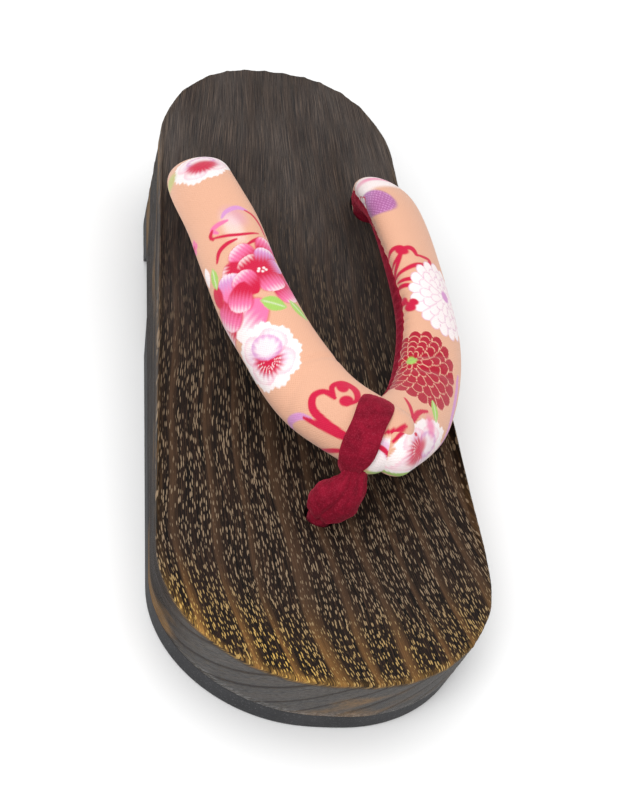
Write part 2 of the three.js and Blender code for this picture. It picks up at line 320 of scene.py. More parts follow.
def top_height(y):
    """Height of the top face: the parabola through the toe, middle and heel heights."""
    t = y / LENGTH + 0.5
    return (TOE_HEIGHT * 2 * (t - 0.5) * (t - 1) - MID_HEIGHT * 4 * t * (t - 1)
            + HEEL_HEIGHT * 2 * t * (t - 0.5))


def under_height(y):
    """Underside of the wood: flat on the pads; over the arch, two slopes and a roof whose lowest
    is taken by -k log(sum(exp(-h / k))), which rounds the corners between them."""
    slopes = [(y - ARCH_FRONT) * ARCH_FRONT_SLOPE, (ARCH_REAR - y) * ARCH_REAR_SLOPE, ARCH_HEIGHT + 0 * y]
    soft = -ARCH_SOFTNESS * np.log(sum(np.exp(-np.clip(s, -200, 200) / ARCH_SOFTNESS) for s in slopes))
    return np.maximum(soft, PAD_THICKNESS + GLUE_LINE)


def edge_line(line, z, inset=0.0):
    """The outline at height z, leaning in with depth below the top, and pulled in by inset:
    x (1 - (side inset depth + inset) / half width), and so for y with the toe's undercut in front."""
    x, y = line.T
    depth = 1 - z / top_height(y)
    end = np.where(y < 0, TOE_UNDERCUT, SIDE_INSET)
    return np.stack([x * (1 - (SIDE_INSET * depth + inset) / HALF_WIDTH),
                     y * (1 - (end * depth + inset) / (LENGTH / 2)), z + 0 * x], 1)


def rim(line, corners, across, along):
    """Closed rim from its right half, toe middle to heel middle: across steps over each end and
    along steps down each side. The rows in corners are where the ends meet the side."""
    first, last = corners
    right = np.concatenate([resampled(line[:first + 1], across // 2),
                            resampled(line[first:last + 1], along)[1:],
                            resampled(line[last:], across // 2)[1:]])
    right[[0, -1], 0] = 0
    return np.concatenate([right, right[-2:0:-1] * [-1, 1, 1]])


def patch(edge, across, along):
    """Grid filling a rim: the even blend of its opposite sides less the blend of its corners."""
    loop = np.roll(edge, across // 2, axis=0)
    toe = loop[:across + 1]
    right = loop[across:across + along + 1]
    heel = loop[across + along:2 * across + along + 1][::-1]
    left = np.concatenate([loop[2 * across + along:], loop[:1]])[::-1]
    u = np.linspace(0, 1, across + 1)[None, :, None]
    v = np.linspace(0, 1, along + 1)[:, None, None]
    ends = (1 - v) * toe[None] + v * heel[None]
    sides = (1 - u) * left[:, None] + u * right[:, None]
    corners = (1 - v) * ((1 - u) * toe[0] + u * toe[-1]) + v * ((1 - u) * heel[0] + u * heel[-1])
    return ends + sides - corners


def body(name, lines, steps, material, top=None, under=None):
    """Closed body from its right-hand edge lines, each with its corners, top edge first: rims, the
    walls between them, and a patch at each end, whose heights are top(y) and under(y)."""
    across, along = steps
    rims = np.stack([rim(line, corners, across, along) for line, corners in lines])
    upper, lower = patch(rims[0], across, along), patch(rims[-1], across, along)
    for grid, height in ((upper, top), (lower, under)):
        if height:
            grid[1:-1, 1:-1, 2] = height(grid[1:-1, 1:-1, 1])
    points, faces = joined([(upper, False), (lower, False), (rims, True)])
    return make_piece(name, points, faces, material)


def grain_of(points):
    """Wood coordinates of points: across the growth rings, along the grain, depth below the top.
    Ring lines run lengthwise, fan out and bend to +X towards the toe, and lean with depth:
    (x + tilt depth - bend (y + 20)^2) / (1 - fan y), with a slow waver."""
    x, y, z = points.T
    depth = np.maximum(top_height(y) - z - 0.8, 0)
    bend = RING_BEND * np.minimum(y + 20, 0) ** 2
    ring = (x + RING_TILT * depth - bend) / (1 - RING_FAN * y)
    ring = ring + 0.9 * np.sin(y * 0.041 + 0.7 + ring * 0.05) + 0.45 * np.sin(y * 0.113 + ring * 0.13 + 2)
    return np.stack([ring, y, depth], 1)


def ring_count(ring):
    """Growth rings counted across: even spacing with a slow drift, so that no two are as wide."""
    return ring / RING_SPACING + 0.07 * np.sin(ring * 0.31 + 1.1) + 0.04 * np.sin(ring * 0.83 + 0.4)


def brushed_relief(points, normals):
    """Height left by brushing: one hard ridge in each ring, exp(-((part - 1/2) / 0.2)^2), and fine
    grooves along the grain. There is none on the underside."""
    ring, along, _ = grain_of(points).T
    ridge = np.exp(-(((ring_count(ring) % 1) - 0.5) / 0.2) ** 2)
    grooves = 0.05 * np.sin(ring * 5.3 + 1.3 * np.sin(along * 0.05)) * np.sin(ring * 2.9 + along * 0.02)
    return (RIDGE_HEIGHT * (ridge - 0.6) + grooves) * smoothstep(-0.6, 0.1, normals[:, 2])


def rod(name, low, high, radius, sides=48):
    """Closed cylinder between two points: radius (cos a, sin a) turned onto the axis."""
    low, high = Vector(low), Vector(high)
    turn = Vector((0, 0, 1)).rotation_difference(high - low).to_matrix()
    angle = np.linspace(0, 2 * np.pi, sides, endpoint=False)
    ring = radius * np.stack([np.cos(angle), np.sin(angle), 0 * angle], 1) @ np.array(turn).T
    pole = np.zeros((sides, 3))
    rows = np.stack([pole + low, ring + low, ring + high, pole + high])
    points, faces = joined([(rows, True)])
    return make_piece(name, points, faces, rubber)


def drill(piece, rods):
    """Cuts rods, each (low end, high end, radius), out of a piece."""
    for low, high, radius in rods:
        cutter = rod("drill", low, high, radius)
        cut = piece.modifiers.new("drill", "BOOLEAN")
        cut.operation = "DIFFERENCE"
        cut.solver = "EXACT"
        cut.object = cutter
        graph = bpy.context.evaluated_depsgraph_get()
        mesh = bpy.data.meshes.new_from_object(piece.evaluated_get(graph), depsgraph=graph)
        piece.modifiers.clear()
        piece.data = mesh
        bpy.data.objects.remove(cutter)


def make_base():
    """Base: dished top, rounded edge, leaning wall and arched underside, brushed and drilled."""
    top = top_height(OUTLINE[:, 1])
    lines = []
    for angle in np.linspace(0, math.pi / 2, 5):
        lines.append(edge_line(OUTLINE, top - EDGE_ROUNDING * (1 - math.cos(angle)),
                               EDGE_ROUNDING * (1 - math.sin(angle))))
    under = under_height(OUTLINE[:, 1])
    for _ in range(4):
        under = under_height(edge_line(OUTLINE, under)[:, 1])
    for share in np.linspace(0, 1, int(14 * FINE) + 1)[1:]:
        lines.append(edge_line(OUTLINE, (top - EDGE_ROUNDING) * (1 - share) + under * share))
    steps = (2 * int(56 * FINE), int(280 * FINE))
    base = body("base", [(line, CORNERS) for line in lines], steps, wood, top_height, under_height)
    points, normals = points_of(base), normals_of(base)
    set_points(base, points + normals * brushed_relief(points, normals)[:, None])
    x, y = FRONT_HOLE
    rods = [((x, y, -5), (x, y, 60), FRONT_HOLE_RADIUS), ((x, y, -5), (x, y, RECESS_TOP), RECESS_RADIUS)]
    for side in (-1, 1):
        x = side * REAR_HOLE_X
        rods.append(((x, *REAR_HOLE_LOW), (x, *REAR_HOLE_HIGH), REAR_HOLE_RADIUS))
    drill(base, rods)
    smooth(base, 38)
    mark_wood(base)
    return base


def mark_wood(base):
    """Stores what the wood's finish reads: pore and grain coordinates, ring count, depth, and where
    walls, worn toe, edges, the heel ramp that carries the painted sheen, lowest edge and end grain are."""
    points, normals = points_of(base), normals_of(base)
    x, y, z = points.T
    grain = grain_of(points)
    toe = OUTLINE[:CORNERS[0]]
    to_toe = y - np.interp(np.abs(x), toe[:, 0], toe[:, 1])
    to_side = np.interp(y, OUTLINE[:, 1], OUTLINE[:, 0]) - np.abs(x)
    depth = top_height(y) - z
    # pores are short at the toe and drawn out towards the heel: the integral of 1 / pitch(y)
    growth = (HEEL_PORE_PITCH - TOE_PORE_PITCH) / LENGTH
    pores = np.log(1 + (y + LENGTH / 2) * growth / TOE_PORE_PITCH) / growth
    store(base, "pore", "FLOAT_VECTOR", np.stack([grain[:, 0] / PORE_SPACING, pores, grain[:, 2] / 2.5], 1))
    store(base, "grain", "FLOAT_VECTOR", grain)
    store(base, "ring", "FLOAT", ring_count(grain[:, 0]))
    store(base, "wall", "FLOAT", smoothstep(0.8, 0.4, normals[:, 2]) * smoothstep(0.5, 1.8, depth))
    worn_side = 0.5 + 0.5 * smoothstep(30, -20, x + 0.25 * wander(x / 9, y / 9, 7))
    store(base, "toe_wear", "FLOAT", smoothstep(34, 0, to_toe) * worn_side)
    store(base, "edge", "FLOAT", smoothstep(3.2, 0.4, np.minimum(to_side, to_toe)))
    # ramp towards the heel: it carries the painted grey sheen there and fades the grain under it; it also
    # thins the pores
    store(base, "heel_ramp_painted_sheen", "FLOAT", smoothstep(-30, 95, y))
    store(base, "depth", "FLOAT", depth)
    store(base, "lowest", "FLOAT", smoothstep(2.2, 0.6, z - PAD_THICKNESS))
    store(base, "end_grain", "FLOAT", smoothstep(0.25, 0.75, np.abs(normals[:, 1])))


def pad_line(z, inset, heel):
    """Right-hand edge of a rubber pad at height z, cut off straight where the arch meets it."""
    line = edge_line(OUTLINE, np.full(len(OUTLINE), z), inset)
    cut = ARCH_REAR - z / ARCH_REAR_SLOPE + inset if heel else ARCH_FRONT + z / ARCH_FRONT_SLOPE - inset
    corner = np.array([[np.interp(cut, line[:, 1], line[:, 0]), cut, z]])
    end = np.linspace(0, 1, 30)[:, None] * corner * [1, 0, 0] + [0, cut, z]
    if heel:
        kept = line[line[:, 1] > cut]
        line = np.concatenate([end, kept])
        corners = (29, len(line) - (len(OUTLINE) - CORNERS[1]))
    else:
        kept = line[line[:, 1] < cut]
        line = np.concatenate([kept, end[::-1]])
        corners = (CORNERS[0], len(kept))
    return line, corners


def make_pad(name, heel):
    """Rubber pad: edge lines from the glue line to the floor with a soft lower edge."""
    # height and inset of each edge line
    levels = (
        (PAD_THICKNESS, 0.25), (PAD_THICKNESS - 0.3, 0), (5, 0), (2.5, 0), (0.7, 0), (0.2, 0.25), (0, 0.8),
    )
    lines = [pad_line(z, inset, heel) for z, inset in levels]
    steps = (2 * int(20 * FINE), int((36 if heel else 110) * FINE))
    pad = body(name, lines, steps, rubber)
    if not heel:
        drill(pad, [((*FRONT_HOLE, -5), (*FRONT_HOLE, 20), RECESS_RADIUS)])
    smooth(pad, 38)
    return pad


# ---------------------------------------------------------------- form of the strap
def leg_frames(points, side, rows):
    """Centre line of one leg with its facing and outward directions, widths and thicknesses, and
    the length run from the hole. side is 1 on the left and -1 on the right."""
    nose = np.array(NOSE)
    run = unit(nose - points[-1])
    path = smooth_path([*points, nose, nose + run * NOSE_OVERRUN], 2400)
    length = np.linalg.norm(np.diff(path, axis=0), axis=1).sum()
    # even steps down the leg, then steps that close the end like a ball: past = sin, size = cos
    overrun = NOSE_OVERRUN / length
    turn = np.linspace(0, math.pi / 2, 18)[1:]
    place = np.concatenate([np.linspace(0, 1 - overrun, rows), 1 - overrun + overrun * np.sin(turn)])
    size = np.concatenate([np.ones(rows), np.cos(turn)])
    place, size = np.concatenate([[0], place]), np.concatenate([[0], size])
    centre, tangent = along_path(path, place)
    upright = np.stack([0 * place, np.maximum(0, 1 - place / 0.16), 1 + 0 * place], 1)
    up = unit(upright - tangent * (upright * tangent).sum(1, keepdims=True))
    width, thickness, tilt = read_table(LEG_SIZES, place)
    tilt = side * np.radians(tilt)[:, None]
    face = up * np.cos(tilt) + np.cross(tangent, up) * np.sin(tilt)
    out = side * np.cross(tangent, face)
    return centre, face, out, width / 2 * size, thickness / 2 * size, place * length


def inner_seam(name, run):
    """Degrees round the leg at which the inner seam lies, by the run down the leg."""
    return np.interp(run, *np.array(INNER_SEAM[name], float).T)


def leg_surface(name, angles_at, proud=0.0):
    """Grid of one leg: centre + out w sin a + face h cos a, with the padding's soft swells, puckers
    along the seams and creases pushed along the surface's normal. angles_at gives the degrees
    round the leg for each row's run. Returns the points, the runs and the angles."""
    points, side = (LEFT_LEG, 1) if name == "left" else (RIGHT_LEG, -1)
    centre, face, out, width, thickness, run = leg_frames(points, side, int(520 * FINE))
    angles = angles_at(run[:, None])
    a = np.radians(angles)
    sine, cosine = np.sin(a), np.cos(a)
    # the side that lies towards the foot is fuller than the underside
    flat = np.where(cosine < 0, 0.93, 1.0)
    w, h = width[:, None], thickness[:, None] * flat
    offset = out[:, None] * (w * sine)[..., None] + face[:, None] * (h * cosine)[..., None]
    normal = unit(out[:, None] * (h * sine + 1e-9)[..., None] + face[:, None] * (w * cosine)[..., None])
    down = run[:, None] + 0 * a
    push = proud + 0.28 * wander(down / 13, angles / 55, 1.3 if name == "left" else 4.1)
    for edge in (inner_seam(name, down), inner_seam(name, down) + 360, LINING_OUTER_EDGE):
        near = np.exp(-((angles - edge) / 16) ** 2)
        strength = 0.6 + 0.4 * wander(down / 7, 0 * a, 5)
        pucker = np.sin(down / 0.62 + 2.2 * wander(down / 9, 0 * a, 2.2)) * strength
        push = push + near * (0.2 * pucker - 0.45)
    for place, angle, length, spread, depth in CREASES[name]:
        across = (down - place) + (angles - angle) * length
        push = push - depth * np.exp(-(across / spread) ** 2) * smoothstep(75, 10, np.abs(angles - angle))
    fade = smoothstep(0, 3.0, np.minimum(w, 20))
    return centre[:, None] + offset + normal * (push * fade)[..., None], down, angles


def run_round(grid, crown):
    """Length round each row of a grid from its crown column, in mm."""
    steps = np.linalg.norm(np.diff(grid, axis=1), axis=2)
    run = np.concatenate([0 * steps[:, :1], np.cumsum(steps, axis=1)], 1)
    return run - run[:, crown:crown + 1]


# creases in the cover: run down the leg in mm, angle round it, slant, spread and depth in mm
CREASES = {
    "left": [(120.5, -40, 0.05, 1.3, 0.5), (126, 30, -0.06, 1.6, 0.4)],
    "right": [(109, -45, 0.10, 1.2, 0.9), (113.5, -20, 0.07, 1.5, 0.7), (80, -70, 0.05, 2.2, 0.4)],
}


def make_cover(name):
    """Printed cotton of one leg: the closed padded tube, with its print painted on its points."""
    half = int(84 * FINE)
    shown = np.concatenate([np.linspace(-150, 0, half), np.linspace(0, 165, half)[1:]])
    angles = np.concatenate([shown, np.linspace(165, 210, 8)[1:-1]])
    grid, down, _ = leg_surface(name, lambda run: angles + 0 * run)
    points, faces = joined([(grid, True)])
    cover = make_piece("strap_" + name, points, faces, cotton, merge=0)
    paint = Print(down.ravel(), run_round(grid, half - 1).ravel())
    PAINT[name](paint)
    store(cover, "print", "FLOAT_COLOR", np.column_stack([paint.colour, np.ones(len(points))]))
    store(cover, "weave", "FLOAT_VECTOR", np.stack([paint.down, paint.around, 0 * paint.down], 1))
    # only now, because the paint was laid on the points of the whole grid
    weld(cover.data, MERGE)
    smooth(cover)
    return cover


def make_lining(name):
    """Velvet of one leg: a closed strip over its underside, from the outer seam to the inner. The
    strip's skin lies proud of the cotton and thins to its edges; its back lies in the padding."""
    share = np.linspace(0, 1, int(64 * FINE))

    def angles_at(run):
        return LINING_OUTER_EDGE + (inner_seam(name, run) + 360 - LINING_OUTER_EDGE) * share

    skin, down, angles = leg_surface(name, angles_at)
    back = leg_surface(name, angles_at, -1.6)[0]
    bulge = LINING_PROUD * np.sin(np.pi * share) ** 0.25 + 0.05
    fuzz = 0.06 * wander(down * 2.1, angles / 2.6, 7) + 0.05 * wander(down * 4.4, angles / 1.4, 3)
    front = skin + unit(skin - back + 1e-9) * (bulge + fuzz)[..., None]
    kept = slice(2, -8)
    loop = np.concatenate([front[kept], back[kept][:, ::-1]], 1)
    ends = loop.mean(1, keepdims=True) + 0 * loop
    points, faces = joined([(np.concatenate([ends[:1], loop, ends[-1:]]), True)])
    return make_piece("lining_" + name, points, faces, velvet)


# ---------------------------------------------------------------- form of the front loop
def band_grid():
    """Band round the nose: an oval centre line in the band's upright plane, carrying a flat oval
    section w sin b along the band's axis and t cos b outwards. It narrows to the stem in front."""
    rows, columns = int(300 * FINE), int(96 * FINE)
    turn = np.linspace(0, 2 * np.pi, rows, endpoint=False)[:, None]
    b = np.linspace(0, 2 * np.pi, columns, endpoint=False)[None, :]
    angle = math.radians(BAND_TURN)
    axis = np.array([math.cos(angle), math.sin(angle), 0])
    ahead = np.array([-math.sin(angle), math.cos(angle), 0])
    up = np.array([0, 0, 1])
    half = BAND_THICKNESS / 2
    length, height = BAND_HALF_LENGTH + half, BAND_HALF_HEIGHT + half
    oval = np.cos(turn)[..., None] * ahead * length + np.sin(turn)[..., None] * up * height
    radial = unit(np.cos(turn)[..., None] * ahead * height + np.sin(turn)[..., None] * up * length)
    # the front of the band, where it turns down into the stem, is at turn = pi + a little
    near_stem = np.exp(-((turn - 3.85) / 0.55) ** 2)
    width = BAND_WIDTH / 2 * (0.97 - 0.5 * near_stem + 0.03 * np.sin(turn * 5 + 1))
    gather = near_stem * 0.25 * np.sin(np.sin(b) * 9)
    lump = 0.16 * wander(turn * 3, b * 1.2, 2.6) + gather
    fuzz = 0.05 * wander(turn * 60, np.sin(b) * 22, 3) + 0.04 * wander(turn * 97, np.sin(b) * 37, 8)
    fat = half * (1 + 0.25 * near_stem) + lump + fuzz
    section = axis * (width * np.sin(b))[..., None] + radial * (fat * np.cos(b))[..., None]
    lean = axis * (-1.2 * np.exp(-((turn - 4.0) / 0.7) ** 2))[..., None]
    return np.array(BAND_CENTRE) + oval + section + lean


def stem_grid():
    """Stem from the band into the front hole: an oval section carried down its path, folded in
    along its middle where both ends of the band lie together, and gathered at its neck."""
    rows, columns = int(170 * FINE), int(110 * FINE)
    path = smooth_path(STEM_PATH, 1200)
    place = np.concatenate([[0], np.linspace(0, 1, rows), [1]])
    size = np.concatenate([[0], np.ones(rows), [0]])
    centre, tangent = along_path(path, place)
    face = np.array([0.0, -1, 0]) + 0 * tangent
    face = unit(face - tangent * (face * tangent).sum(1, keepdims=True))
    across = np.cross(tangent, face)
    width, thickness = read_table(STEM_SIZES, place) / 2
    width, thickness = (width * size)[:, None], (thickness * size)[:, None]
    a = np.linspace(0, 2 * np.pi, columns, endpoint=False)[None, :]
    sine, cosine = np.sin(a), np.cos(a)
    p = place[:, None]
    bud = np.exp(-((p - 0.36) / 0.15) ** 2)
    neck = np.exp(-((p - 0.12) / 0.08) ** 2) + np.exp(-((p - 0.53) / 0.05) ** 2)
    fold = np.exp(-((sine - 0.38) / 0.13) ** 2) * (cosine > 0)
    push = 0.35 * bud - 1.1 * fold * (bud + 0.4 * neck) + 0.3 * neck * np.sin(a * 9 + p * 4)
    push = push + 0.2 * wander(p * 14, a * 1.5, 5) * (p < 0.6)
    push = push + 0.05 * wander(p * 80, a * 12, 3) + 0.04 * wander(p * 130, a * 21, 8)
    push = push * np.minimum(size[:, None], 1)
    normal = unit(across[:, None] * (sine * thickness + 1e-9)[..., None]
                  + face[:, None] * (width * cosine)[..., None])
    grid = centre[:, None] + across[:, None] * (width * sine)[..., None]
    return grid + face[:, None] * (thickness * cosine)[..., None] + normal * push[..., None]


def make_loop():
    """Front loop: the band, closed on itself, with the stem."""
    band = band_grid()
    band = np.concatenate([band, band[:1]])
    points, faces = joined([(band, True), (stem_grid(), True)])
    return make_piece("loop", points, faces, velvet)


# ---------------------------------------------------------------- the cotton's print
PEACH = screen_colour(228, 176, 147)
WHITE = screen_colour(250, 240, 240)
CRIMSON = screen_colour(206, 18, 66)
DEEP_RED = screen_colour(176, 18, 48)
PINK = screen_colour(240, 120, 170)
LILAC = screen_colour(214, 150, 205)
PURPLE = screen_colour(160, 80, 160)
LEAF = screen_colour(165, 205, 100)


def polar(u, v):
    """Radius and angle of places."""
    return np.hypot(u, v), np.arctan2(v, u)


class Print:
    """Paint on one leg's cover, in mm down the leg and round it, outwards positive."""

    def __init__(self, down, around):
        self.down = down
        self.around = around
        self.colour = PEACH + np.zeros((len(down), 3))
        tone = 0.012 * wander(down / 11, around / 9, 1)
        self.colour = self.colour * (1 + tone[:, None])

    def lay(self, colour, mask):
        mask = np.clip(mask, 0, 1)[:, None]
        self.colour = self.colour * (1 - mask) + np.asarray(colour) * mask

    def local(self, centre, turn=0.0, squeeze=1.0):
        """Places along and across from a centre, turned by degrees and narrowed across."""
        t = math.radians(turn)
        p, q = self.down - centre[0], self.around - centre[1]
        return p * math.cos(t) + q * math.sin(t), (q * math.cos(t) - p * math.sin(t)) / squeeze

    def peony(self, centre, size, turn=0, squeeze=1.0, rim=WHITE, shade=LILAC, heart=CRIMSON, lobes=9):
        """Frilled bloom: lobed edge size (0.89 + 0.1 |sin(lobes angle / 2)|), a shaded middle, a
        crimson fan of stamens to one side and a pale cup of petals on the other."""
        u, v = self.local(centre, turn, squeeze)
        r, angle = polar(u, v)
        edge = size * (0.89 + 0.1 * np.abs(np.sin(angle * lobes / 2)) + 0.025 * np.sin(angle * 31))
        self.lay(rim, smoothstep(edge + 0.2, edge - 0.15, r))
        inner = size * (0.7 + 0.09 * np.sin(angle * 4 + 0.8))
        self.lay(shade, 0.6 * smoothstep(inner, 0.35 * size, r + 0.05 * size * np.sin(angle * 26)))
        for k in range(4):
            turn_k = k * 1.55 + 0.5
            p, q = u - 0.44 * size * math.cos(turn_k), v - 0.44 * size * math.sin(turn_k)
            far = np.hypot(p, q) / (0.42 * size)
            self.lay(WHITE, 0.55 * np.exp(-((far - 1) / 0.1) ** 2) * (r < 0.85 * size))
            self.lay(PINK, 0.35 * smoothstep(0.55, 1.0, far) * (far < 1) * (r < 0.8 * size))
        p, q = (u - 0.12 * size) / size, v / size
        fan, reach = np.arctan2(q, p), np.hypot(p, q)
        rays = 0.5 + 0.5 * np.sin(fan * 19)
        self.lay(heart, smoothstep(0.6, 0.3, reach * (1 + 0.25 * rays)) * smoothstep(2.5, 1.7, np.abs(fan)))
        self.lay(WHITE, 0.75 * (rays > 0.86) * (reach > 0.12) * (reach < 0.36) * (np.abs(fan) < 1.7))
        cup = np.hypot((u + 0.26 * size) / 0.36, v / 0.46) / size
        self.lay(shade, 0.75 * smoothstep(1.04, 0.96, cup))
        self.lay(WHITE, 0.85 * smoothstep(0.98, 0.55, cup + 0.08 * np.sin(angle * 17)))

    def chrysanthemum(self, centre, size, petal, line, heart, squeeze=1.0, rings=5, lean=(0, 0)):
        """Many-petalled bloom: rings of rounded petals, each outlined; ring k has 9 + 3 k petals and
        the inner rings lean away from the centre."""
        step = size / (rings + 0.55)
        for k in range(rings, -1, -1):
            off = 1 - k / rings
            place = (centre[0] + lean[0] * off, centre[1] + lean[1] * off)
            r, angle = polar(*self.local(place, 0, squeeze))
            count = 9 + 3 * k
            wave = np.abs(np.cos(angle * count / 2 + k * 1.3))
            edge = step * (k + 0.7 + 0.6 * wave ** 0.6)
            to_side = 2 * wave * r / count
            self.lay(line, smoothstep(edge + 0.25, edge + 0.08, r))
            self.lay(petal, smoothstep(edge - 0.06, edge - 0.26, r) * smoothstep(0.07, 0.2, to_side))
        self.lay(heart, smoothstep(0.75 * step, 0.5 * step, r))

    def petal(self, centre, size, turn, edge_colour, root_colour):
        """One broad petal: a heart-topped oval, edge_colour at its lip, root_colour at its foot."""
        u, v = self.local(centre, turn)
        u = u / size
        half = 0.78 * np.sqrt(np.maximum(0, 1 - u * u)) * (1 + 0.35 * u)
        notch = 0.12 * np.exp(-((v / size) / 0.16) ** 2) * (u > 0)
        inside = smoothstep(0.07, -0.05, np.abs(v) / size - half + notch) * (np.abs(u) < 1)
        veins = 0.12 * np.sin(v / size * 26)
        self.lay(CRIMSON, 0.55 * smoothstep(0.16, 0.02, np.abs(v) / size - half) * (np.abs(u) < 1.04))
        self.lay(root_colour, inside)
        self.lay(edge_colour, inside * smoothstep(-0.5, 0.65, u + veins))
        self.lay(WHITE, 0.7 * inside * smoothstep(0.45, 1.0, u + veins))

    def blossom(self, centre, size, petals, petal, heart, turn=0):
        """Open bloom of round petals: edge size (0.6 + 0.4 |cos(petals angle / 2)|^(1/2))."""
        r, angle = polar(*self.local(centre, turn))
        edge = size * (0.6 + 0.4 * np.sqrt(np.abs(np.cos(angle * petals / 2))))
        self.lay(petal, smoothstep(edge + 0.2, edge - 0.1, r))
        self.lay(heart, 0.8 * smoothstep(0.45 * size, 0.15 * size, r))

    def spot(self, centre, length, width, colour, turn=0, strength=1.0, soft=0.3):
        """Oval spot with a soft edge."""
        u, v = self.local(centre, turn)
        oval = np.hypot(u / length, v / width)
        self.lay(colour, strength * smoothstep(1 + soft, 1 - soft, oval))

    def leaf(self, centre, length, width, colour=LEAF, turn=0):
        """Pointed leaf: half width width (1 - (u / length)^2), with a pale vein."""
        u, v = self.local(centre, turn)
        half = width * np.maximum(0, 1 - (u / length) ** 2)
        self.lay(colour, smoothstep(0.15, -0.15, np.abs(v) - half) * (np.abs(u) < length))
        self.lay(WHITE, 0.55 * np.exp(-(v / 0.22) ** 2) * smoothstep(length, 0.6 * length, np.abs(u)))

    def stroke(self, places, width, colour=CRIMSON):
        """Brush line along a smooth curve through places, full in its middle and thin at its ends."""
        path = np.array([(p[0], p[1], 0) for p in places], float)
        path = smooth_path(path, 60)[:, :2]
        spot = np.stack([self.down, self.around], 1)
        near = np.all((spot > path.min(0) - 3) & (spot < path.max(0) + 3), axis=1)
        where = np.nonzero(near)[0]
        if not len(where):
            return
        gap = np.linalg.norm(spot[where][:, None] - path[None], axis=2)
        nearest = gap.argmin(1)
        share = nearest / (len(path) - 1)
        half = width / 2 * (0.35 + 0.65 * np.sin(np.pi * np.clip(share, 0.02, 0.98)) ** 0.6)
        mask = np.zeros(len(self.down))
        mask[where] = smoothstep(0.22, -0.16, gap.min(1) - half)
        self.lay(colour, mask)


